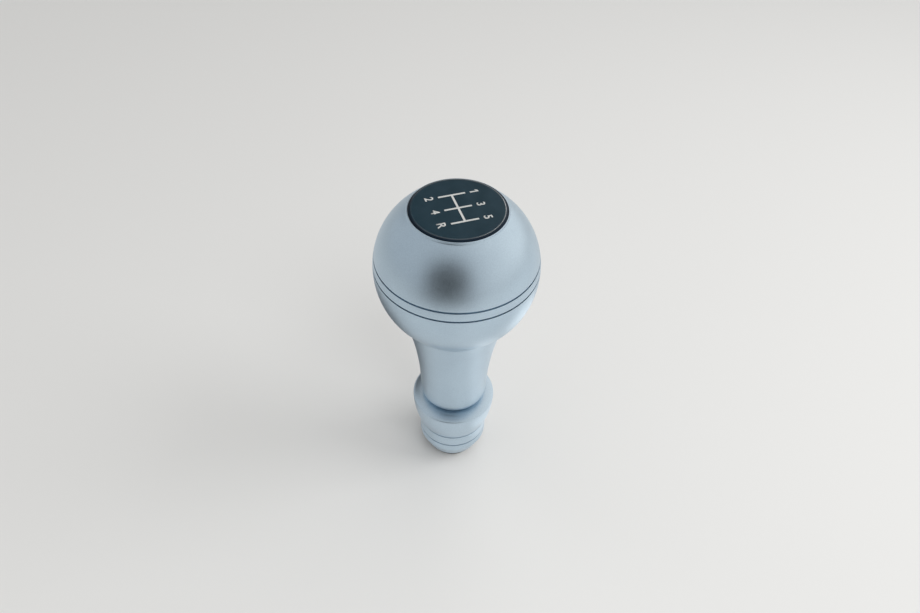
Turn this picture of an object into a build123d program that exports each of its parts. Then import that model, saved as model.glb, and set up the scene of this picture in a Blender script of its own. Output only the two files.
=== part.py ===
from build123d import *
from math import asin, degrees, sqrt
import os

# Gear shift knob with a swivelling gaiter collar. Lengths are in millimetres.
# +Z runs up the lever, and z = 0 is the face that the knob stands on.

# Ball, turned in one piece with the neck; its underside is a little fuller than a sphere
ball_radius = 25.0
ball_centre_z = 92.35
ball_under_radius = 28.1
ball_groove_offsets = (1.7, 4.8)
ball_groove_width = 0.55
ball_groove_depth = 0.9

# Neck below the ball, flaring up into it
neck_radius = 11.6
neck_straight = 4.0
neck_top_radius = 16.5
neck_corner_round = 5.0
neck_foot_round = 3.6

# Thin bezel on top of the ball, and the shift plate that sits in it
bezel_wall = 0.3
bezel_height = 0.57
bezel_round = 0.15
plate_radius = 14.0
plate_thickness = 2.0
plate_stand = 0.39
plate_bevel_width = 0.7
plate_bevel_height = 0.4
plate_crest_round = 0.15
plate_clearance = 0.1

# Gaiter collar below the neck
collar_top_z = 31.2
collar_seat_radius = 10.6
collar_shoulder_drop = 0.95
collar_rim_radius = 14.5
collar_rim_round = 0.6
collar_sleeve_radius = 12.2
collar_nose_radius = 9.9
collar_nose_z = 9.2
collar_nose_round = 1.5
collar_end_round = 0.3
collar_groove_z = (12.35, 17.45)
collar_groove_width = 0.45
collar_groove_depth = 0.7
collar_running_clearance = 0.08
collar_top_play = 0.4
collar_foot_play = 0.15

# Lever sleeve that lines the neck, carries the collar and shows as a dark foot below it
sleeve_radius = 7.6
sleeve_bore_radius = 6.4
sleeve_depth_in_neck = 20.0
sleeve_flange_radius = 8.3
sleeve_flange_thickness = 3.2
sleeve_edge_chamfer = 0.4
sleeve_bond_gap = 0.03

# Threaded bush for an M12 x 1.25 lever, bored to the thread's minor diameter
bush_bore_radius = 5.32
bush_shank_radius = 6.9
bush_shank_length = 18.0
bush_head_thickness = 2.0
bush_lead_in = 0.7
bush_fit_gap = 0.03
lever_overrun = 5.0
drill_point_height = 4.0

# Places that follow from the sizes above
plate_seat_radius = plate_radius + plate_clearance
bezel_radius = plate_seat_radius + bezel_wall
bezel_foot_z = ball_centre_z + sqrt(ball_radius**2 - bezel_radius**2)
bezel_top_z = bezel_foot_z + bezel_height
plate_seat_z = bezel_top_z + plate_stand - plate_thickness
under_arc_r = ball_radius - ball_under_radius
neck_top_z = ball_centre_z - sqrt(ball_under_radius**2 - (neck_top_radius - under_arc_r) ** 2)
collar_end_z = sleeve_flange_thickness + collar_foot_play
collar_rim_z = collar_top_z - collar_shoulder_drop
neck_foot_z = collar_top_z + collar_top_play
neck_flare_z = neck_foot_z + neck_straight
sleeve_top_z = neck_foot_z + sleeve_depth_in_neck
bush_seat_z = sleeve_top_z + bush_head_thickness
bush_top_z = bush_seat_z + bush_shank_length
drill_shoulder_z = bush_top_z + lever_overrun

# Fits that follow from the sizes above
neck_bore_radius = sleeve_radius + sleeve_bond_gap
bush_bore_in_neck = bush_shank_radius + bush_fit_gap
collar_bore_radius = sleeve_radius + collar_running_clearance


def groove_section(radius, height, lean, width, depth):
    """Cut section of a turned slot whose mouth is at the given radius and height."""
    # The slot runs on outside its mouth, so that it also cuts a lip that stands a little proud
    with Locations((radius, height)):
        Rectangle(2 * depth, width, rotation=lean)


def profile_corner(profile, radius, height):
    """Corner of a turned profile at the given radius and height."""
    return profile.vertices().sort_by_distance((radius, height))[0]


# Knob body: ball and neck in one turned piece
with BuildPart() as knob_body:
    with BuildSketch(Plane.XZ) as knob_profile:
        with BuildLine():
            Line((0, neck_foot_z), (neck_radius, neck_foot_z))
            Line((neck_radius, neck_foot_z), (neck_radius, neck_flare_z))
            TangentArc((neck_radius, neck_flare_z), (neck_top_radius, neck_top_z), tangent=(0, 1))
            TangentArc((ball_radius, ball_centre_z), (neck_top_radius, neck_top_z), tangent=(0, -1))
            TangentArc((ball_radius, ball_centre_z), (bezel_radius, bezel_foot_z), tangent=(0, 1))
            Polyline(
                (bezel_radius, bezel_foot_z),
                (bezel_radius, bezel_top_z),
                (0, bezel_top_z),
                (0, neck_foot_z),
            )
        make_face()
        fillet(profile_corner(knob_profile, neck_top_radius, neck_top_z), neck_corner_round)
        fillet(profile_corner(knob_profile, neck_radius, neck_foot_z), neck_foot_round)
        fillet(profile_corner(knob_profile, bezel_radius, bezel_top_z), bezel_round)
    revolve(axis=Axis.Z)
    # Seat for the shift plate inside the bezel
    with BuildSketch(Plane.XY.offset(plate_seat_z)):
        Circle(plate_seat_radius)
    extrude(amount=plate_thickness, mode=Mode.SUBTRACT)
    # Two fine grooves round the ball
    with BuildSketch(Plane.XZ):
        for offset_z in ball_groove_offsets:
            groove_section(
                sqrt(ball_radius**2 - offset_z**2),
                ball_centre_z + offset_z,
                degrees(asin(offset_z / ball_radius)),
                ball_groove_width,
                ball_groove_depth,
            )
    revolve(axis=Axis.Z, mode=Mode.SUBTRACT)
    # Stepped bore for the sleeve, the bush and the end of the lever
    with BuildSketch(Plane.XZ):
        with BuildLine():
            Polyline(
                (0, neck_foot_z),
                (neck_bore_radius, neck_foot_z),
                (neck_bore_radius, bush_seat_z),
                (bush_bore_in_neck, bush_seat_z),
                (bush_bore_in_neck, drill_shoulder_z),
                (0, drill_shoulder_z + drill_point_height),
                close=True,
            )
        make_face()
    revolve(axis=Axis.Z, mode=Mode.SUBTRACT)

# Shift plate: dark disc with a bevelled rim
with BuildPart() as shift_plate:
    with BuildSketch(Plane.XY.offset(plate_seat_z)):
        Circle(plate_radius)
    extrude(amount=plate_thickness)
    rim = shift_plate.faces().sort_by(Axis.Z)[-1].edges()
    chamfer(rim, plate_bevel_height, plate_bevel_width, reference=shift_plate.faces().sort_by(Axis.Z)[1])
    fillet(shift_plate.faces().sort_by(Axis.Z)[-1].edges(), plate_crest_round)

# Thread bush: brass, pressed up into the neck
with BuildPart() as thread_bush:
    with BuildSketch(Plane.XZ):
        with BuildLine():
            Polyline(
                (bush_bore_radius + bush_lead_in, sleeve_top_z),
                (sleeve_radius, sleeve_top_z),
                (sleeve_radius, bush_seat_z),
                (bush_shank_radius, bush_seat_z),
                (bush_shank_radius, bush_top_z),
                (bush_bore_radius, bush_top_z),
                (bush_bore_radius, sleeve_top_z + bush_lead_in),
                close=True,
            )
        make_face()
    revolve(axis=Axis.Z)

# Lever sleeve: black moulding glued into the neck, with a foot flange that keeps the collar on
with BuildPart() as lever_sleeve:
    with BuildSketch(Plane.XZ):
        with BuildLine():
            Polyline(
                (sleeve_bore_radius, 0),
                (sleeve_flange_radius, 0),
                (sleeve_flange_radius, sleeve_flange_thickness),
                (sleeve_radius, sleeve_flange_thickness),
                (sleeve_radius, sleeve_top_z),
                (sleeve_bore_radius, sleeve_top_z),
                close=True,
            )
        make_face()
    revolve(axis=Axis.Z)
    chamfer(lever_sleeve.faces().sort_by(Axis.Z)[0].edges(), sleeve_edge_chamfer)

# Gaiter collar: turns freely on the sleeve between the neck's foot and the flange
with BuildPart() as gaiter_collar:
    with BuildSketch(Plane.XZ) as collar_profile:
        with BuildLine():
            Line((collar_bore_radius, collar_top_z), (collar_seat_radius, collar_top_z))
            # Shoulder, then the belly down to the upper groove
            TangentArc((collar_seat_radius, collar_top_z), (collar_rim_radius, collar_rim_z), tangent=(1, 0))
            TangentArc(
                (collar_rim_radius, collar_rim_z),
                (collar_sleeve_radius, collar_groove_z[1]),
                tangent=(0, -1),
            )
            Polyline(
                (collar_sleeve_radius, collar_groove_z[1]),
                (collar_sleeve_radius, collar_nose_z),
                (collar_nose_radius, collar_end_z),
                (collar_bore_radius, collar_end_z),
                (collar_bore_radius, collar_top_z),
            )
        make_face()
        fillet(profile_corner(collar_profile, collar_rim_radius, collar_rim_z), collar_rim_round)
        fillet(profile_corner(collar_profile, collar_sleeve_radius, collar_nose_z), collar_nose_round)
        fillet(profile_corner(collar_profile, collar_nose_radius, collar_end_z), collar_end_round)
    revolve(axis=Axis.Z)
    # Two fine grooves round the sleeve that the gaiter is tied to
    with BuildSketch(Plane.XZ):
        for groove_z in collar_groove_z:
            groove_section(collar_sleeve_radius, groove_z, 0, collar_groove_width, collar_groove_depth)
    revolve(axis=Axis.Z, mode=Mode.SUBTRACT)

os.makedirs("parts", exist_ok=True)
pieces = {
    "knob_body": knob_body,
    "shift_plate": shift_plate,
    "thread_bush": thread_bush,
    "lever_sleeve": lever_sleeve,
    "gaiter_collar": gaiter_collar,
}
for name, piece in pieces.items():
    piece.part.label = name
    export_step(piece.part, f"parts/{name}.step")
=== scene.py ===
# %% [markdown]
# # A gear shift knob, dressed in Blender
# A CAD model settles every size and place of this knob, and it loads here as a fixed frame. What Blender
# adds is what the eye reads: fine round surfaces with broken edges, the printed shift pattern, a real
# thread in the bush and finishes with grain in them. Each cell makes one piece or one finish, so that
# they can be tried one by one.

# %% Load the frame
from math import acos, asin, atan2, ceil, cos, pi, radians, sin, sqrt, tan, tau

import bpy
from mathutils import Matrix, Vector
from mathutils.geometry import intersect_sphere_sphere_2d


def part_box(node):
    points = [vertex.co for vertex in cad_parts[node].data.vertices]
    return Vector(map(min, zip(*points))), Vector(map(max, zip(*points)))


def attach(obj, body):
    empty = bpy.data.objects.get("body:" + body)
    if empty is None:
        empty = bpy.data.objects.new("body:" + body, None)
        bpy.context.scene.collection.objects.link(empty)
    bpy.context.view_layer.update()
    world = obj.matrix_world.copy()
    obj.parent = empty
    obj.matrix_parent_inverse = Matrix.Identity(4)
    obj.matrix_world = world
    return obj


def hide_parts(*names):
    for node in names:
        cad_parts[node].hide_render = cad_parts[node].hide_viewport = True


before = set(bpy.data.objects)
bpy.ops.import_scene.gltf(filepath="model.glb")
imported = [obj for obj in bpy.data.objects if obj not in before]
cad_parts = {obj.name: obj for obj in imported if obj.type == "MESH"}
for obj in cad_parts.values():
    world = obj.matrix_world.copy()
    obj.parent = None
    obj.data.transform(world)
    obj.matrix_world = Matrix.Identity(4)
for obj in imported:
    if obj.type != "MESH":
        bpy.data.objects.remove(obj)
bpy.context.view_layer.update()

mm = 0.001

# %% [markdown]
# ## A clean bench
# Blender can open with a cube, a lamp and a camera of its own, and they go first, so that nothing stray
# ends up in the part. The Standard view transform shows a colour about as it was typed, which is what a
# finish needs.

# %% Clear the bench
bench = bpy.context.scene
bench.view_settings.view_transform = "Standard"
for spare in ("Cube", "Light", "Camera"):
    if spare in bpy.data.objects:
        bpy.data.objects.remove(bpy.data.objects[spare])
print("view transform:", bench.view_settings.view_transform)

# %% [markdown]
# ## A lathe from two operators
# Every piece of this knob is round about the lever, and the real ones are turned on a lathe. The same
# idea makes them here. A section is drawn as a chain of edges, with X as the radius and Z as the height:
# extruding the last vertex is a straight cut, and spinning it about a centre is a round cut. Arcs are
# split just finely enough that no facet stands more than a few thousandths of a millimetre off the true
# curve.

# %% Straight cuts and round cuts
facet_height = 0.004 * mm
tool = Vector((0, 0))  # radius and height where the last cut ended


def facets_for(radius, sweep):
    """Count the facets that keep an arc within the facet height."""
    return ceil(abs(sweep) / (2 * acos(1 - facet_height / radius)))


def start_section(name, point):
    """Start a turned piece with one vertex at a point of radius and height."""
    bpy.ops.object.select_all(action="DESELECT")
    bpy.ops.mesh.primitive_plane_add(size=mm)
    piece = bpy.context.object
    piece.name = name
    piece.data.name = name
    bpy.ops.object.mode_set(mode="EDIT")
    bpy.ops.mesh.select_mode(type="VERT")
    bpy.ops.mesh.merge(type="CENTER")
    bpy.ops.transform.translate(value=(point[0], 0, point[1]))
    tool[:] = point
    return piece


def straight_cut(*points):
    """Extrude the section's last vertex through points of radius and height."""
    for point in points:
        step = (point[0] - tool[0], 0, point[1] - tool[1])
        bpy.ops.mesh.extrude_vertices_move(TRANSFORM_OT_translate={"value": step})
        tool[:] = point


def round_cut(centre, end):
    """Spin the section's last vertex about a centre until it reaches the end point."""
    start_arm = tool - Vector(centre)
    end_arm = Vector(end) - Vector(centre)
    sweep = end_arm.angle_signed(start_arm)
    facets = facets_for(start_arm.length, sweep)
    bpy.ops.mesh.spin(steps=facets, angle=sweep, center=(centre[0], 0, centre[1]), axis=(0, 1, 0))
    tool[:] = end


print("facets in a quarter turn of a 25 mm ball:", facets_for(25 * mm, pi / 2))

# %% [markdown]
# ## Broken edges and the full turn
# No turned edge is left razor sharp: a file touches it before the piece comes off the lathe, and that
# fine round is what catches a line of light. A vertex bevel on the section does the same before it is
# turned. Spinning the section once round Z then makes the skin. Its seam is merged before the normals
# are worked out, and weighted normals keep the broad faces calm beside the tiny rounds.

# %% Break corners and turn the section
turn_facets = 192
weld_reach = 0.001 * mm
crease_angle = radians(30)


def break_corners(piece, reach, *corners):
    """Round corners of the section with a vertex bevel that reaches so far along both sides."""
    bpy.ops.mesh.select_all(action="DESELECT")
    bpy.ops.object.mode_set(mode="OBJECT")
    for corner in corners:
        nearest = min(piece.data.vertices, key=lambda vertex: (vertex.co.xz - Vector(corner)).length)
        nearest.select = True
    bpy.ops.object.mode_set(mode="EDIT")
    facets = facets_for(reach, pi / 2)
    bpy.ops.mesh.bevel(offset=reach, affect="VERTICES", segments=facets, clamp_overlap=False)


def close_skin(piece):
    """Merge seams and poles, turn faces outwards and shade the piece."""
    bpy.ops.mesh.select_all(action="SELECT")
    bpy.ops.mesh.remove_doubles(threshold=weld_reach)
    bpy.ops.mesh.normals_make_consistent(inside=False)
    bpy.ops.object.mode_set(mode="OBJECT")
    bpy.ops.object.shade_smooth_by_angle(angle=crease_angle)
    shading = piece.modifiers.new("even_shading", "WEIGHTED_NORMAL")
    shading.keep_sharp = True
    bpy.ops.object.modifier_apply(modifier=shading.name)
    print(piece.name, "has", len(piece.data.polygons), "faces")


def turn_section(piece):
    """Spin the section once round the lever's axis and close its skin."""
    bpy.ops.mesh.select_all(action="SELECT")
    bpy.ops.mesh.spin(steps=turn_facets, angle=tau, center=(0, 0, 0), axis=(0, 0, 1))
    close_skin(piece)


print("facets round the axis:", turn_facets)

# %% [markdown]
# ## The bore inside the neck
# The section of the ball and neck starts on the axis, at the point that the drill left, and comes down
# the bore: a hole for the bush, a wider one for the sleeve, then out across the flat foot to its large
# round. The bush and the sleeve fill most of the bore, but its end can be seen from below, so it is cut
# as it really is.

# %% Cut the bore and the foot
knob_low, knob_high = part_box("knob_body")
bush_low, bush_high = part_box("thread_bush")
fit_gap = 0.03 * mm
bush_shank_radius = 6.9 * mm
bush_head_thickness = 2 * mm
lever_overrun = 5 * mm
drill_point_height = 4 * mm
neck_radius = 11.6 * mm
neck_straight = 4 * mm
neck_foot_round = 3.6 * mm
bush_hole_radius = bush_shank_radius + fit_gap
sleeve_radius = bush_high.x
sleeve_hole_radius = sleeve_radius + fit_gap
bush_seat_z = bush_low.z + bush_head_thickness
drill_shoulder_z = bush_high.z + lever_overrun
drill_point_z = drill_shoulder_z + drill_point_height
neck_foot_z = knob_low.z
neck_flare_z = neck_foot_z + neck_straight
foot_centre = Vector((neck_radius - neck_foot_round, neck_foot_z + neck_foot_round))

ball_and_neck = start_section("ball_and_neck", (0, drill_point_z))
straight_cut(
    (bush_hole_radius, drill_shoulder_z),
    (bush_hole_radius, bush_seat_z),
    (sleeve_hole_radius, bush_seat_z),
    (sleeve_hole_radius, neck_foot_z),
    (foot_centre.x, neck_foot_z),
)
round_cut(foot_centre, (neck_radius, foot_centre.y))
straight_cut((neck_radius, neck_flare_z))
print("bore cut, section now at radius", round(tool.x / mm, 2), "mm")

# %% [markdown]
# ## Flare and underside of the ball
# The neck swells on one very large arc and meets the ball's underside in a soft hollow. The underside is
# a little fuller than a true sphere. The hollow is an arc that touches both, and its centre is found as
# a draughtsman does with compasses: where two circles, one larger and one smaller by the hollow's
# radius, cross.

# %% Cut the flare and the underside
ball_radius = knob_high.x
ball_centre = Vector((0, 92.35 * mm))
under_radius = 28.1 * mm
under_centre = Vector((ball_radius - under_radius, ball_centre.y))
hollow_radius = 5 * mm
neck_top_radius = 16.5 * mm
neck_top_z = under_centre.y - sqrt(under_radius**2 - (neck_top_radius - under_centre.x) ** 2)
neck_top = Vector((neck_top_radius, neck_top_z))
flare = neck_top - Vector((neck_radius, neck_flare_z))
flare_radius = flare.length_squared / (2 * flare.x)
flare_centre = Vector((neck_radius + flare_radius, neck_flare_z))
crossings = intersect_sphere_sphere_2d(
    under_centre, under_radius + hollow_radius, flare_centre, flare_radius - hollow_radius
)
hollow_centre = min(crossings, key=lambda point: (point - neck_top).length)
flare_end = flare_centre.lerp(hollow_centre, flare_radius / (flare_radius - hollow_radius))
under_start = under_centre.lerp(hollow_centre, under_radius / (under_radius + hollow_radius))

round_cut(flare_centre, flare_end)
round_cut(hollow_centre, under_start)
round_cut(under_centre, (ball_radius, ball_centre.y))
print("flare radius", round(flare_radius / mm, 1), "mm")

# %% [markdown]
# ## Grooves, bezel and seat
# Two fine slots run round the ball just above its middle, cut square to the surface and deep enough to
# stay dark. Above them the ball goes on to a thin raised bezel, and inside that the dark plate sits in
# its seat. The lips of the slots and the edges of the bezel are broken before the section is turned.

# %% Cut the grooves and the bezel, then turn
plate_low, plate_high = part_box("shift_plate")
ball_groove_rises = (1.7 * mm, 4.8 * mm)
ball_groove_width = 0.55 * mm
ball_groove_depth = 0.9 * mm
lip_break = 0.05 * mm
plate_clearance = 0.1 * mm
bezel_wall = 0.3 * mm
bezel_break = 0.24 * mm
seat_radius = plate_high.x + plate_clearance
bezel_radius = seat_radius + bezel_wall


def on_ball(angle, depth=0, along=0):
    """Point at an angle above the ball's middle, so far below the surface and so far along it."""
    outwards = Vector((cos(angle), sin(angle)))
    upwards = Vector((-sin(angle), cos(angle)))
    return ball_centre + (ball_radius - depth) * outwards + along * upwards


ball_edges = []
half_slot = ball_groove_width / 2
lip_angle = asin(half_slot / ball_radius)
for groove_rise in ball_groove_rises:
    slot_angle = asin(groove_rise / ball_radius)
    lips = [on_ball(slot_angle - lip_angle), on_ball(slot_angle + lip_angle)]
    slot_floor = [on_ball(slot_angle, ball_groove_depth, along) for along in (-half_slot, half_slot)]
    round_cut(ball_centre, lips[0])
    straight_cut(*slot_floor, lips[1])
    ball_edges += lips
round_cut(ball_centre, on_ball(acos(bezel_radius / ball_radius)))
bezel_foot = tool.copy()
straight_cut(
    (bezel_radius, knob_high.z),
    (seat_radius, knob_high.z),
    (seat_radius, plate_low.z),
    (0, plate_low.z),
)
break_corners(ball_and_neck, lip_break, *ball_edges, (seat_radius, knob_high.z))
break_corners(ball_and_neck, bezel_break, (bezel_radius, knob_high.z), bezel_foot)
turn_section(ball_and_neck)
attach(ball_and_neck, "knob")
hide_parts("knob_body")

# %% [markdown]
# ## Gaiter collar: shoulder and belly
# The collar is the loose ring below the neck that the gaiter is tied to. From a flat seat under the neck
# its shoulder falls away in a shallow arc to the rim, and the belly narrows in one long arc down to a
# slot. The rim's round touches both arcs from inside, so its centre is again where two circles cross.

# %% Cut the collar's upper half
collar_low, collar_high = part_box("gaiter_collar")
running_clearance = 0.08 * mm
shoulder_drop = 0.95 * mm
rim_round = 0.6 * mm
collar_bore_radius = sleeve_radius + running_clearance
seat_edge = Vector((10.6 * mm, collar_high.z))
rim = Vector((14.5 * mm, collar_high.z - shoulder_drop))
tie_radius = 12.2 * mm
tie_slots_z = (17.45 * mm, 12.35 * mm)
tie_slot_width = 0.45 * mm
shoulder = rim - seat_edge
shoulder_radius = shoulder.length_squared / (-2 * shoulder.y)
shoulder_centre = seat_edge - Vector((0, shoulder_radius))
belly = rim - Vector((tie_radius, tie_slots_z[0]))
belly_radius = belly.length_squared / (2 * belly.x)
belly_centre = rim - Vector((belly_radius, 0))
crossings = intersect_sphere_sphere_2d(
    shoulder_centre, shoulder_radius - rim_round, belly_centre, belly_radius - rim_round
)
rim_centre = min(crossings, key=lambda point: (point - rim).length)
shoulder_end = shoulder_centre.lerp(rim_centre, shoulder_radius / (shoulder_radius - rim_round))
belly_start = belly_centre.lerp(rim_centre, belly_radius / (belly_radius - rim_round))
lip_drop = rim.y - tie_slots_z[0] - tie_slot_width / 2
belly_lip = belly_centre + Vector((sqrt(belly_radius**2 - lip_drop**2), -lip_drop))

gaiter_ring = start_section("gaiter_ring", (collar_bore_radius, collar_high.z))
straight_cut(seat_edge)
round_cut(shoulder_centre, shoulder_end)
round_cut(rim_centre, belly_start)
round_cut(belly_centre, belly_lip)
print("belly radius", round(belly_radius / mm, 1), "mm")

# %% [markdown]
# ## Gaiter collar: tie band and nose
# Below the belly comes the straight band that the gaiter's hem is tied round, between and below its two
# slots, and then a tapered nose that the hem slides over. The nose's corners are not square, so how far
# a round reaches along each side follows from the turn of the corner.

# %% Cut the collar's lower half, then turn
tie_slot_depth = 0.7 * mm
upper_nose_round = 1.5 * mm
lower_nose_round = 0.3 * mm
nose_top = Vector((tie_radius, 9.2 * mm))
nose_end = Vector((9.9 * mm, collar_low.z))
nose_lean = atan2(nose_top.x - nose_end.x, nose_top.y - nose_end.y)
upper_nose_reach = upper_nose_round * tan(nose_lean / 2)
lower_nose_reach = lower_nose_round * tan((pi / 2 - nose_lean) / 2)


def tie_slot(middle_z):
    """Points of a square slot in the tie band, from its upper lip to its lower lip."""
    top_z = middle_z + tie_slot_width / 2
    end_z = middle_z - tie_slot_width / 2
    floor_radius = tie_radius - tie_slot_depth
    return [(tie_radius, top_z), (floor_radius, top_z), (floor_radius, end_z), (tie_radius, end_z)]


upper_slot, lower_slot = [tie_slot(middle_z) for middle_z in tie_slots_z]
# The belly has already come down to the upper slot's lip, so that slot starts at its floor
straight_cut(*upper_slot[1:], *lower_slot)
straight_cut(nose_top, nose_end, (collar_bore_radius, collar_low.z), (collar_bore_radius, collar_high.z))
break_corners(gaiter_ring, upper_nose_reach, nose_top)
break_corners(gaiter_ring, lower_nose_reach, nose_end)
break_corners(gaiter_ring, lip_break, belly_lip, upper_slot[-1], lower_slot[0], lower_slot[-1])
turn_section(gaiter_ring)
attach(gaiter_ring, "collar")
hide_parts("gaiter_collar")

# %% [markdown]
# ## Shift plate
# The plate is a dark disc in the bezel, with a bevelled rim. Inside the crest of its bevel the field
# lies a few hundredths of a millimetre lower, as it does on plates that are printed and then lacquered.
# The crest that is left between field and bevel will catch a thin line of light.

# %% Turn the plate
bevel_width = 0.7 * mm
bevel_height = 0.4 * mm
crest_width = 0.25 * mm
crest_break = 0.15 * mm
field_drop = 0.03 * mm
field_step_width = 0.05 * mm
field_z = plate_high.z - field_drop
plate_radius = plate_high.x
bevel_foot = (plate_radius, plate_high.z - bevel_height)
crest_radius = plate_radius - bevel_width

pattern_plate = start_section("pattern_plate", (0, plate_low.z))
straight_cut(
    (plate_radius, plate_low.z),
    bevel_foot,
    (crest_radius, plate_high.z),
    (crest_radius - crest_width, plate_high.z),
    (crest_radius - crest_width - field_step_width, field_z),
    (0, field_z),
)
break_corners(pattern_plate, lip_break, (plate_radius, plate_low.z), bevel_foot)
break_corners(pattern_plate, crest_break, (crest_radius, plate_high.z))
turn_section(pattern_plate)
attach(pattern_plate, "knob")
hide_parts("shift_plate")

# %% [markdown]
# ## Gate lines of the shift pattern
# The pattern is thick ink: three strokes for the three pairs of gears and one stroke across them. Laid
# over each other, the strokes would share faces and flicker, so the whole gate grows from one small
# square instead. An edge is picked by its place and extruded, again and again. The figure 1 grows the
# same way, because the built-in letters have only a plain bar for it. Solidify then gives the ink its
# thickness.

# %% Grow the gate lines and the figure 1
stroke_width = 0.62 * mm
stroke_length = 8 * mm
stroke_pitch = 6 * mm
stem_width = 0.5 * mm
numeral_height = 2.5 * mm
numeral_row = 6.65 * mm
figure_one_shift = 0.15 * mm
figure_one_flag = 0.5 * mm
ink_thickness = 0.03 * mm
ink_sink = 0.005 * mm
ink_z = field_z - ink_sink


def grow(piece, start, step):
    """Extrude the edge whose middle is nearest to a point."""
    bpy.ops.mesh.select_all(action="DESELECT")
    bpy.ops.object.mode_set(mode="OBJECT")
    points = piece.data.vertices

    def distance(edge):
        first, second = edge.vertices
        return ((points[first].co + points[second].co) / 2 - Vector(start)).length

    min(piece.data.edges, key=distance).select = True
    bpy.ops.object.mode_set(mode="EDIT")
    bpy.ops.mesh.extrude_edges_move(TRANSFORM_OT_translate={"value": step})


def thicken(piece):
    """Give flat ink its thickness, upwards from where it lies."""
    ink = piece.modifiers.new("ink", "SOLIDIFY")
    ink.thickness = ink_thickness
    ink.offset = 1
    bpy.ops.object.modifier_apply(modifier=ink.name)


bpy.ops.object.select_all(action="DESELECT")
bpy.ops.mesh.primitive_plane_add(size=stroke_width)
shift_pattern = bpy.context.object
shift_pattern.name = "shift_pattern"
shift_pattern.data.name = "shift_pattern"
bpy.ops.object.mode_set(mode="EDIT")
bpy.ops.transform.translate(value=(0, 0, ink_z))
bpy.ops.mesh.select_mode(type="EDGE")
half_stroke = stroke_width / 2
bridge = stroke_pitch - stroke_width
arm = stroke_length / 2 - half_stroke
for side in (-1, 1):
    grow(shift_pattern, (side * half_stroke, 0, ink_z), (side * bridge, 0, 0))
    grow(shift_pattern, (side * (half_stroke + bridge), 0, ink_z), (side * stroke_width, 0, 0))
for column in (-stroke_pitch, 0, stroke_pitch):
    for side in (-1, 1):
        grow(shift_pattern, (column, side * half_stroke, ink_z), (0, side * arm, 0))

half_stem = stem_width / 2
one_x = -stroke_pitch + figure_one_shift
one_top = numeral_row + numeral_height / 2 - half_stem
bpy.ops.mesh.primitive_plane_add(size=stem_width, location=(one_x, one_top, ink_z))
grow(shift_pattern, (one_x, one_top - half_stem, ink_z), (0, stem_width - numeral_height, 0))
grow(shift_pattern, (one_x - half_stem, one_top, ink_z), (-figure_one_flag, -figure_one_flag, 0))
bpy.ops.object.mode_set(mode="OBJECT")
thicken(shift_pattern)
print("gate lines have", len(shift_pattern.data.polygons), "faces")

# %% [markdown]
# ## Numerals
# The numerals stand at the ends of the strokes, with their tops towards the front of the car. Each of
# the others is a text object with its outline pushed a little outwards, which makes the built-in letters
# bolder. It is made a mesh, measured, brought to the right height, and joined to the gate lines, since
# all of it is one print.

# %% Set the numerals
boldness = 0.02
gears = {"2": (-1, -1), "3": (0, 1), "4": (0, -1), "5": (1, 1), "R": (1, -1)}


def set_numeral(character, column, row):
    """Write one bold character centred at its place in the pattern."""
    bpy.ops.object.select_all(action="DESELECT")
    bpy.ops.object.text_add()
    numeral = bpy.context.object
    numeral.data.body = character
    numeral.data.offset = boldness
    bpy.ops.object.convert(target="MESH")
    numeral = bpy.context.object
    corners = [Vector(corner) for corner in numeral.bound_box]
    middle = (corners[0] + corners[6]) / 2
    growth = numeral_height / (corners[6] - corners[0]).y
    numeral.scale = (growth, growth, 1)
    numeral.location = Vector((column * stroke_pitch, row * numeral_row, ink_z)) - growth * middle
    bpy.ops.object.transform_apply(location=True, rotation=False, scale=True)
    thicken(numeral)
    return numeral


numerals = [set_numeral(gear, *place) for gear, place in gears.items()]
bpy.ops.object.select_all(action="DESELECT")
for numeral in numerals:
    numeral.select_set(True)
shift_pattern.select_set(True)
bpy.context.view_layer.objects.active = shift_pattern
bpy.ops.object.join()
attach(shift_pattern, "knob")
print("pattern has", len(shift_pattern.data.polygons), "faces")

# %% [markdown]
# ## Lever sleeve
# The sleeve is a black moulding that lines the neck. The lever slides through it, the collar runs on its
# outside, and its foot keeps the collar on and shows below it. A plain tube with a flange is one more
# turned section.

# %% Turn the sleeve
sleeve_low, sleeve_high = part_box("lever_sleeve")
sleeve_bore_radius = 6.4 * mm
flange_radius = sleeve_high.x
flange_top_z = 3.2 * mm
foot_chamfer = 0.4 * mm

neck_sleeve = start_section("neck_sleeve", (sleeve_bore_radius, sleeve_high.z))
straight_cut(
    (sleeve_bore_radius, sleeve_low.z + foot_chamfer),
    (sleeve_bore_radius + foot_chamfer, sleeve_low.z),
    (flange_radius - foot_chamfer, sleeve_low.z),
    (flange_radius, sleeve_low.z + foot_chamfer),
    (flange_radius, flange_top_z),
    (sleeve_radius, flange_top_z),
    (sleeve_radius, sleeve_high.z),
    (sleeve_bore_radius, sleeve_high.z),
)
break_corners(
    neck_sleeve,
    lip_break,
    (sleeve_bore_radius, sleeve_low.z + foot_chamfer),
    (sleeve_bore_radius + foot_chamfer, sleeve_low.z),
    (flange_radius - foot_chamfer, sleeve_low.z),
    (flange_radius, sleeve_low.z + foot_chamfer),
    (flange_radius, flange_top_z),
)
turn_section(neck_sleeve)
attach(neck_sleeve, "knob")
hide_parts("lever_sleeve")

# %% [markdown]
# ## Threaded bush
# The brass bush takes the lever's M12 thread with its 1.25 mm pitch. Its wall is turned at the thread's
# root, and the thread is a ridge on that wall: a small section with 30 degree flanks, carried round and
# up by a Screw modifier. That is the one shape here that climbs as it turns, which Spin can't do.

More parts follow.
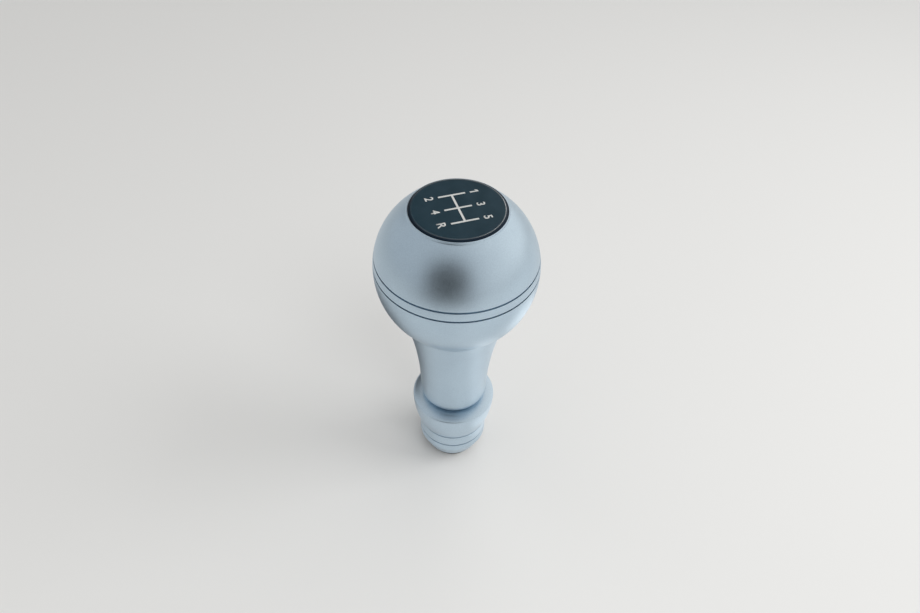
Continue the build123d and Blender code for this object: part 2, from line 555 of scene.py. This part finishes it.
# %% Turn the bush and wind its thread
thread_pitch = 1.25 * mm
thread_turns = 15
thread_facets = 64
crest_of_thread = 5.32 * mm
root_of_thread = 6 * mm
ridge_sink = 0.06 * mm
flank_angle = radians(30)
ridge_foot = root_of_thread + ridge_sink
crest_half = thread_pitch / 8
foot_half = crest_half + (ridge_foot - crest_of_thread) * tan(flank_angle)
thread_start_z = (bush_low.z + bush_high.z - thread_turns * thread_pitch) / 2

brass_bush = start_section("brass_bush", (root_of_thread, bush_high.z))
straight_cut(
    (root_of_thread, bush_low.z),
    (sleeve_radius, bush_low.z),
    (sleeve_radius, bush_seat_z),
    (bush_shank_radius, bush_seat_z),
    (bush_shank_radius, bush_high.z),
    (root_of_thread, bush_high.z),
)
break_corners(brass_bush, lip_break, (sleeve_radius, bush_low.z), (bush_shank_radius, bush_high.z))
turn_section(brass_bush)

thread = start_section("thread", (ridge_foot, thread_start_z - foot_half))
straight_cut(
    (crest_of_thread, thread_start_z - crest_half),
    (crest_of_thread, thread_start_z + crest_half),
    (ridge_foot, thread_start_z + foot_half),
    (ridge_foot, thread_start_z - foot_half),
)
bpy.ops.mesh.select_all(action="SELECT")
bpy.ops.mesh.remove_doubles(threshold=weld_reach)
bpy.ops.object.mode_set(mode="OBJECT")
winding = thread.modifiers.new("winding", "SCREW")
winding.axis = "Z"
winding.angle = tau
winding.screw_offset = thread_pitch
winding.iterations = thread_turns
winding.steps = thread_facets
winding.render_steps = thread_facets
bpy.ops.object.modifier_apply(modifier=winding.name)
bpy.ops.object.mode_set(mode="EDIT")
bpy.ops.mesh.select_all(action="SELECT")
bpy.ops.mesh.fill_holes(sides=4)
close_skin(thread)
brass_bush.select_set(True)
bpy.context.view_layer.objects.active = brass_bush
bpy.ops.object.join()
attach(brass_bush, "knob")
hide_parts("thread_bush")
print("bush and thread have", len(brass_bush.data.polygons), "faces")

# %% [markdown]
# ## Grain and turning lines, shared by the finishes
# Two effects come back in several finishes, so each is a node group. Fine grain is the pitting that
# glass beads leave in blasted metal or that a spark leaves in a mould, with a slow mottle beneath it.
# Turning lines are the fine rings of a lathe tool: noise that reads only the radius and the height, so
# that it runs round the piece.

# %% Build the shared node groups
def plug(tree, source, socket):
    """Link another node's output to a socket, or set a plain value on it."""
    if isinstance(source, bpy.types.NodeSocket):
        tree.links.new(source, socket)
    else:
        socket.default_value = source


def add_node(tree, kind, settings=None, in_order=(), **by_name):
    """Add a node, set its options, and fill its inputs in order or by name."""
    node = tree.nodes.new(kind)
    for option, value in (settings or {}).items():
        setattr(node, option, value)
    for socket, source in zip(node.inputs, in_order):
        plug(tree, source, socket)
    for label, source in by_name.items():
        plug(tree, source, node.inputs[label.replace("_", " ")])
    return node


def new_group(name, inputs, outputs):
    """Start a node group with float inputs and outputs."""
    group = bpy.data.node_groups.new(name, "ShaderNodeTree")
    for label in inputs:
        group.interface.new_socket(label, in_out="INPUT", socket_type="NodeSocketFloat")
    for label in outputs:
        group.interface.new_socket(label, in_out="OUTPUT", socket_type="NodeSocketFloat")
    return group, group.nodes.new("NodeGroupInput"), group.nodes.new("NodeGroupOutput")


grain_group, grain_in, grain_out = new_group(
    "fine_grain", ["Grain Scale", "Mottle Scale"], ["Grain", "Mottle"]
)
place = add_node(grain_group, "ShaderNodeTexCoord").outputs["Object"]
pits = add_node(
    grain_group, "ShaderNodeTexNoise", Vector=place, Scale=grain_in.outputs["Grain Scale"], Detail=2.0
)
clouds = add_node(
    grain_group, "ShaderNodeTexNoise", Vector=place, Scale=grain_in.outputs["Mottle Scale"], Detail=3.0
)
grain_group.links.new(pits.outputs["Fac"], grain_out.inputs["Grain"])
grain_group.links.new(clouds.outputs["Fac"], grain_out.inputs["Mottle"])

lines_group, lines_in, lines_out = new_group("turning_lines", ["Line Scale"], ["Lines", "Radius"])
place = add_node(lines_group, "ShaderNodeTexCoord").outputs["Object"]
parts = add_node(lines_group, "ShaderNodeSeparateXYZ", Vector=place).outputs
across = add_node(lines_group, "ShaderNodeCombineXYZ", X=parts["X"], Y=parts["Y"]).outputs["Vector"]
length = add_node(lines_group, "ShaderNodeVectorMath", {"operation": "LENGTH"}, Vector=across)
radius = length.outputs["Value"]
rings = add_node(lines_group, "ShaderNodeCombineXYZ", X=radius, Z=parts["Z"]).outputs["Vector"]
feed = add_node(
    lines_group, "ShaderNodeTexNoise", Vector=rings, Scale=lines_in.outputs["Line Scale"], Detail=3.0
)
lines_group.links.new(feed.outputs["Fac"], lines_out.inputs["Lines"])
lines_group.links.new(radius, lines_out.inputs["Radius"])
print("node groups:", grain_group.name, lines_group.name)

# %% [markdown]
# ## Helpers for a finish
# Every finish here reads the same way: a Principled shader whose plain numbers are set on its own
# sockets, a colour that runs between two tones, a roughness that runs between two values, and a bump.
# These helpers hold those steps, so that each finish below says only what is its own.

# %% Write the finish helpers
def new_finish(name, piece, **plain):
    """Give a piece a new material and set the shader's plain values."""
    finish = bpy.data.materials.new(name)
    finish.use_nodes = True
    shader = finish.node_tree.nodes["Principled BSDF"]
    for label, value in plain.items():
        shader.inputs[label.replace("_", " ")].default_value = value
    piece.data.materials.clear()
    piece.data.materials.append(finish)
    return finish.node_tree, shader


def add_grain(tree, grain_size, mottle_size):
    """Place the fine grain in a finish, with its sizes in metres."""
    node = add_node(tree, "ShaderNodeGroup", {"node_tree": grain_group})
    node.inputs["Grain Scale"].default_value = 1 / grain_size
    node.inputs["Mottle Scale"].default_value = 1 / mottle_size
    return node.outputs


def add_lines(tree, line_size):
    """Place the turning lines in a finish, with their size in metres."""
    node = add_node(tree, "ShaderNodeGroup", {"node_tree": lines_group})
    node.inputs["Line Scale"].default_value = 1 / line_size
    return node.outputs


def tones(tree, mask, *stops):
    """Run a colour through stops of position and red, green, blue along a mask."""
    ramp = add_node(tree, "ShaderNodeValToRGB", Fac=mask)
    band = ramp.color_ramp.elements
    while len(band) < len(stops):
        band.new(0.5)
    for element, (position, colour) in zip(band, stops):
        element.position = position
        element.color = (*colour, 1)
    return ramp.outputs["Color"]


def span(tree, mask, low, high, start=0.3, end=0.7):
    """Run a value from low to high while a mask goes from start to end."""
    node = add_node(
        tree, "ShaderNodeMapRange", Value=mask, From_Min=start, From_Max=end, To_Min=low, To_Max=high
    )
    return node.outputs["Result"]


def mix_colours(tree, mask, below, above):
    """Mix two colours along a mask."""
    mix = add_node(tree, "ShaderNodeMix", {"data_type": "RGBA"})
    # The node keeps sockets for every kind of data, and these three are the ones for colour
    for socket, source in ((0, mask), (6, below), (7, above)):
        plug(tree, source, mix.inputs[socket])
    return mix.outputs[2]


def bump(tree, shader, height, depth, under=None):
    """Raise a surface by a mask, over another bump if one is given."""
    node = add_node(tree, "ShaderNodeBump", Height=height, Distance=depth)
    if under is not None:
        tree.links.new(under, node.inputs["Normal"])
    tree.links.new(node.outputs["Normal"], shader.inputs["Normal"])
    return node.outputs["Normal"]


print("finish helpers are ready")

# %% [markdown]
# ## Blasted aluminium of the ball and neck
# The ball is blasted with fine beads and then clear anodised, so it is a soft blue silver that blurs
# what it reflects. Blender could roughen it with one number, but real beads leave pits: the grain varies
# the tone and the roughness a little and raises a fine bump, and the mottle keeps broad areas from
# looking printed.

# %% Finish the ball and neck
tree, shader = new_finish("blasted_aluminium", ball_and_neck, Metallic=1.0)
grain = add_grain(tree, 0.35 * mm, 9 * mm)
mottle_share = 0.5
grain_and_mottle = add_node(
    tree, "ShaderNodeMath", {"operation": "MULTIPLY_ADD"}, (grain["Mottle"], mottle_share, grain["Grain"])
)
colour = tones(
    tree,
    span(tree, grain_and_mottle.outputs["Value"], 0, 1, 0.45, 1.05),
    (0.0, (0.475, 0.59, 0.69)),
    (1.0, (0.565, 0.69, 0.79)),
)
tree.links.new(colour, shader.inputs["Base Color"])
tree.links.new(span(tree, grain["Grain"], 0.31, 0.41), shader.inputs["Roughness"])
bump(tree, shader, grain["Grain"], 0.012 * mm)
print("finished", ball_and_neck.name)

# %% [markdown]
# ## Turned aluminium of the collar
# The collar has the same anodised silver, but its band and belly keep a trace of the lathe. It is the
# ball's finish with a lighter blast, so the turning lines still show through as a very fine ring
# pattern.

# %% Finish the collar
tree, shader = new_finish("turned_aluminium", gaiter_ring, Metallic=1.0)
grain = add_grain(tree, 0.3 * mm, 7 * mm)
lines = add_lines(tree, 0.12 * mm)
colour = tones(
    tree,
    span(tree, grain["Grain"], 0, 1),
    (0.0, (0.505, 0.62, 0.715)),
    (1.0, (0.58, 0.70, 0.80)),
)
tree.links.new(colour, shader.inputs["Base Color"])
tree.links.new(span(tree, lines["Lines"], 0.28, 0.40), shader.inputs["Roughness"])
ring_bump = bump(tree, shader, lines["Lines"], 0.004 * mm)
bump(tree, shader, grain["Grain"], 0.008 * mm, under=ring_bump)
print("finished", gaiter_ring.name)

# %% [markdown]
# ## Slate black of the shift plate
# The plate's field is a dull satin slate with a faint grain. Its bevelled rim is painted darker and more
# blue, which is painted shade for the dark that the sloping bevel shows. The crest between them has been
# rubbed to a shine, so a lamp behind it draws a thin line of light there. The radius that the turning
# lines measure anyway tells the three apart.

# %% Finish the plate
tree, shader = new_finish(
    "slate_lacquer", pattern_plate, Specular_IOR_Level=0.11, Coat_Roughness=0.15, Coat_IOR=1.65
)
grain = add_grain(tree, 0.25 * mm, 6 * mm)
radius = add_lines(tree, 1 * mm)["Radius"]
past_crest = span(tree, radius, 0, 1, crest_radius - 0.5 * mm, crest_radius + 0.5 * mm)
field = tones(tree, grain["Mottle"], (0.35, (0.005, 0.02, 0.03)), (0.65, (0.01, 0.027, 0.039)))
none, full = (0,) * 3, (1,) * 3
# The darker, bluer rim tone is painted shade: it stands in for the dark that the sloping bevel shows.
rim_shade_mask = tones(tree, past_crest, (0.4, none), (0.6, full))
rim_painted_shade_tone = (0.003, 0.01, 0.02, 1)
tree.links.new(mix_colours(tree, rim_shade_mask, field, rim_painted_shade_tone), shader.inputs["Base Color"])
polish = tones(tree, past_crest, (0.26, none), (0.31, full), (0.6, full), (0.66, none))
tree.links.new(polish, shader.inputs["Coat Weight"])
tree.links.new(span(tree, grain["Grain"], 0.36, 0.44), shader.inputs["Roughness"])
bump(tree, shader, grain["Grain"], 0.004 * mm)
print("finished", pattern_plate.name)

# %% [markdown]
# ## Ink of the shift pattern
# The pattern is off-white screen ink, a little uneven in cover, so its tone wanders slightly and its
# surface has the faint orange peel of thick ink.

# %% Finish the pattern
tree, shader = new_finish("white_ink", shift_pattern)
grain = add_grain(tree, 0.12 * mm, 1.5 * mm)
colour = tones(tree, grain["Mottle"], (0.3, (0.52, 0.53, 0.52)), (0.7, (0.60, 0.61, 0.60)))
tree.links.new(colour, shader.inputs["Base Color"])
tree.links.new(span(tree, grain["Grain"], 0.42, 0.55), shader.inputs["Roughness"])
bump(tree, shader, grain["Grain"], 0.003 * mm)
print("finished", shift_pattern.name)

# %% [markdown]
# ## Black nylon of the sleeve and brass of the bush
# The sleeve's mould was spark eroded, which leaves a fine even grain. The bush is turned brass: bright,
# with rings from the tool and a slightly deeper tone where it has dulled.

# %% Finish the sleeve and the bush
tree, shader = new_finish("moulded_nylon", neck_sleeve)
grain = add_grain(tree, 0.18 * mm, 5 * mm)
colour = tones(tree, grain["Mottle"], (0.3, (0.016, 0.016, 0.018)), (0.7, (0.026, 0.026, 0.028)))
tree.links.new(colour, shader.inputs["Base Color"])
tree.links.new(span(tree, grain["Grain"], 0.48, 0.62), shader.inputs["Roughness"])
bump(tree, shader, grain["Grain"], 0.015 * mm)

tree, shader = new_finish("machined_brass", brass_bush, Metallic=1.0)
grain = add_grain(tree, 0.3 * mm, 4 * mm)
lines = add_lines(tree, 0.1 * mm)
colour = tones(tree, grain["Mottle"], (0.3, (0.66, 0.48, 0.22)), (0.7, (0.76, 0.60, 0.31)))
tree.links.new(colour, shader.inputs["Base Color"])
tree.links.new(span(tree, lines["Lines"], 0.18, 0.32), shader.inputs["Roughness"])
bump(tree, shader, lines["Lines"], 0.003 * mm)
print("finished", neck_sleeve.name, "and", brass_bush.name)

# %% [markdown]
# ## Floor and room
# Satin metal shows the room more than its own colour, so the room is what makes it. The floor is plain
# and pale. The room glows softly round a window low at the back on the right, and falls off to an even,
# slightly cooler grey on the other side. A power of the cosine to the window gives that fall its shape.

# %% Lay the floor and light the room
view_azimuth = radians(70.4)
to_camera = Vector((sin(view_azimuth), -cos(view_azimuth), 0))
to_right = Vector((cos(view_azimuth), sin(view_azimuth), 0))
up = Vector((0, 0, 1))
floor_tone = (0.78, 0.78, 0.77)

bpy.ops.object.select_all(action="DESELECT")
bpy.ops.mesh.primitive_plane_add(size=6)
floor = bpy.context.object
floor.name = "floor"
new_finish("pale_floor", floor, Roughness=0.85, Specular_IOR_Level=0, Base_Color=(*floor_tone, 1))

room = bpy.data.worlds.new("grey_room")
bench.world = room
room.use_nodes = True
tree = room.node_tree
heading = add_node(tree, "ShaderNodeTexCoord").outputs["Generated"]


def closeness(direction):
    """Cosine of the angle between a heading in the room and a direction."""
    sources = (heading, direction.normalized())
    node = add_node(tree, "ShaderNodeVectorMath", {"operation": "DOT_PRODUCT"}, sources)
    return node.outputs["Value"]


to_window = closeness(0.88 * to_right - 0.47 * to_camera + 0.09 * up)
fall_power = 2.2
fall = add_node(
    tree, "ShaderNodeMath", {"operation": "POWER"}, (span(tree, to_window, 0, 1, -1, 1), fall_power)
)
glow = tones(tree, fall.outputs["Value"], (0.0, (0.57, 0.58, 0.59)), (1.0, (1.09, 1.06, 1.02)))
print("floor laid, room lit")

# %% [markdown]
# ## Dark corners of the room
# A studio also takes light away. A wide dark corner in front gives the ball the soft dark patch on its
# front, and a small one behind on the left shades the collar's shoulder there. Black card would do it
# too, but card leaves a line on the floor, and a corner painted into the room does not. The camera
# itself sees one plain grey from every side, because the Light Path node tells its rays from the others.

# %% Darken two corners
dark = (0.04, 0.04, 0.04, 1)
plain_grey = (0.66, 0.66, 0.65, 1)


def darken(glow, direction, core, reach):
    """Fade the room to dark about a direction, from a reach in degrees to a core in degrees."""
    mask = span(tree, closeness(direction), 0, 1, cos(radians(reach)), cos(radians(core)))
    return mix_colours(tree, mask, glow, dark)


front_corner = to_camera - 0.19 * to_right + 0.33 * up
back_corner = -0.4 * to_right - 0.75 * to_camera + 0.5 * up
mirrored = darken(glow, front_corner, core=20, reach=36)
mirrored = darken(mirrored, back_corner, core=13, reach=26)
seen = add_node(tree, "ShaderNodeLightPath").outputs["Is Camera Ray"]
tree.links.new(mix_colours(tree, seen, mirrored, plain_grey), tree.nodes["Background"].inputs["Color"])
print("corners darkened")

# %% [markdown]
# ## Lamps
# Two soft lamps light the floor. One hangs over the camera's right shoulder, so that the knob's shadow
# falls behind it to the left. The other hangs on the window's side and lifts the floor there. Both are
# kept out of reflections, where they would glare. A tall strip behind shines on the plate alone, and
# draws the line of light on its polished crest.

# %% Hang the lamps
ball_middle = ball_centre.y * up


def new_lamp(name, width, height, brightness):
    """Make a soft lamp whose face looks as bright as the given value."""
    bpy.ops.object.light_add(type="AREA")
    lamp = bpy.context.object
    lamp.name = name
    lamp.data.shape = "RECTANGLE"
    lamp.data.size = width
    lamp.data.size_y = height
    lamp.data.energy = pi * width * height * brightness
    lamp.visible_camera = False
    return lamp


def hang(lamp, direction, distance):
    """Hang a lamp in a direction from the ball and turn it towards the ball."""
    lamp.location = ball_middle + distance * direction.normalized()
    lamp.rotation_euler = direction.to_track_quat("Z", "Y").to_euler()


def shine_only_on(lamp, *pieces):
    """Link a lamp to a few pieces, so that nothing else is lit by it."""
    lamp.light_linking.receiver_collection = bpy.data.collections.new(lamp.name)
    for piece in pieces:
        lamp.light_linking.receiver_collection.objects.link(piece)


shoulder_lamp = new_lamp("shoulder_lamp", width=0.4, height=0.4, brightness=3)
hang(shoulder_lamp, 0.31 * to_right + 0.53 * to_camera + 0.79 * up, distance=0.8)
window_lamp = new_lamp("window_lamp", width=0.4, height=0.4, brightness=4)
hang(window_lamp, to_right + 0.8 * up, distance=0.8)
for lamp in (shoulder_lamp, window_lamp):
    lamp.visible_glossy = False
crest_strip = new_lamp("crest_strip", width=0.08, height=0.75, brightness=6)
hang(crest_strip, 0.3 * to_right - 0.72 * to_camera + 0.62 * up, distance=0.9)
shine_only_on(crest_strip, pattern_plate)
print("lamps hung")

# %% [markdown]
# ## Panels and mats
# Seen from above, the neck and the collar mirror the floor beside the knob rather than the room. Two
# glowing panels on the right put a light edge on them there. A dark mat on the left is painted shadow: it
# lies where the knob's shadow falls on the floor, and gives the neck its dark edge. Another, far in
# front, carries the ball's dark patch on below the horizon. Only reflections show any of them.

# %% Lay the panels and the mats
lift = 2 * mm


def lay_flat(thing, right, front):
    """Lay a lamp or a mat just above the floor, facing up."""
    thing.location = right * to_right + front * to_camera + lift * up
    thing.rotation_euler = (pi, 0, view_azimuth)


def new_mat(name, width, depth, shade):
    """Make an oval mat that is dark in the middle and as pale as the floor at its edge."""
    bpy.ops.mesh.primitive_circle_add(vertices=64, radius=0.5, fill_type="NGON")
    mat = bpy.context.object
    mat.name = name
    mat.scale = (width, depth, 1)
    mat.visible_camera = False
    mat.visible_diffuse = False
    mat.visible_shadow = False
    tree, shader = new_finish(name, mat, Roughness=0.95)
    place = add_node(tree, "ShaderNodeTexCoord").outputs["Object"]
    fade = add_node(tree, "ShaderNodeTexGradient", {"gradient_type": "SPHERICAL"}, Vector=place)
    mat_shade = tones(tree, fade.outputs["Fac"], (0.5, floor_tone), (0.75, (shade,) * 3))
    tree.links.new(mat_shade, shader.inputs["Base Color"])
    return mat


neck_panel = new_lamp("neck_panel", width=0.05, height=0.056, brightness=0.55)
lay_flat(neck_panel, right=0.074, front=-0.028)
collar_panel = new_lamp("collar_panel", width=0.02, height=0.03, brightness=0.3)
lay_flat(collar_panel, right=0.027, front=0.003)
for panel in (neck_panel, collar_panel):
    shine_only_on(panel, ball_and_neck, gaiter_ring)
# Painted shadow: this mat darkens the floor that the neck mirrors, where the knob's shadow falls.
left_mat = new_mat("left_mat", width=0.11, depth=0.11, shade=0.12)
lay_flat(left_mat, right=-0.062, front=-0.042)
front_mat = new_mat("front_mat", width=1.6, depth=2.0, shade=0.05)
lay_flat(front_mat, right=-0.22, front=1.2)
print("panels and mats laid")

# %% [markdown]
# ## Camera
# The camera stands close and looks down steeply, with a wide lens, which is why the ball looks so much
# larger than the collar. It is given by its distance from the ball's middle, the way that it faces, and
# a slight roll.

# %% Set the camera
bpy.ops.object.camera_add()
camera = bpy.context.object
camera.name = "camera"
camera.data.lens = 26.85
camera.data.sensor_width = 36
camera.data.clip_start = 0.01
tilt_angle = radians(43.66)
roll_angle = radians(1.88)
stand = ball_middle + (1.39 * to_right + 150.4 * to_camera + 139.6 * up) * mm
turn = Matrix.Rotation(view_azimuth, 4, "Z")
tilt = Matrix.Rotation(tilt_angle, 4, "X")
roll = Matrix.Rotation(roll_angle, 4, "Z")
camera.matrix_world = Matrix.Translation(stand) @ turn @ tilt @ roll
bench.camera = camera
print("camera at", [round(size, 4) for size in stand])
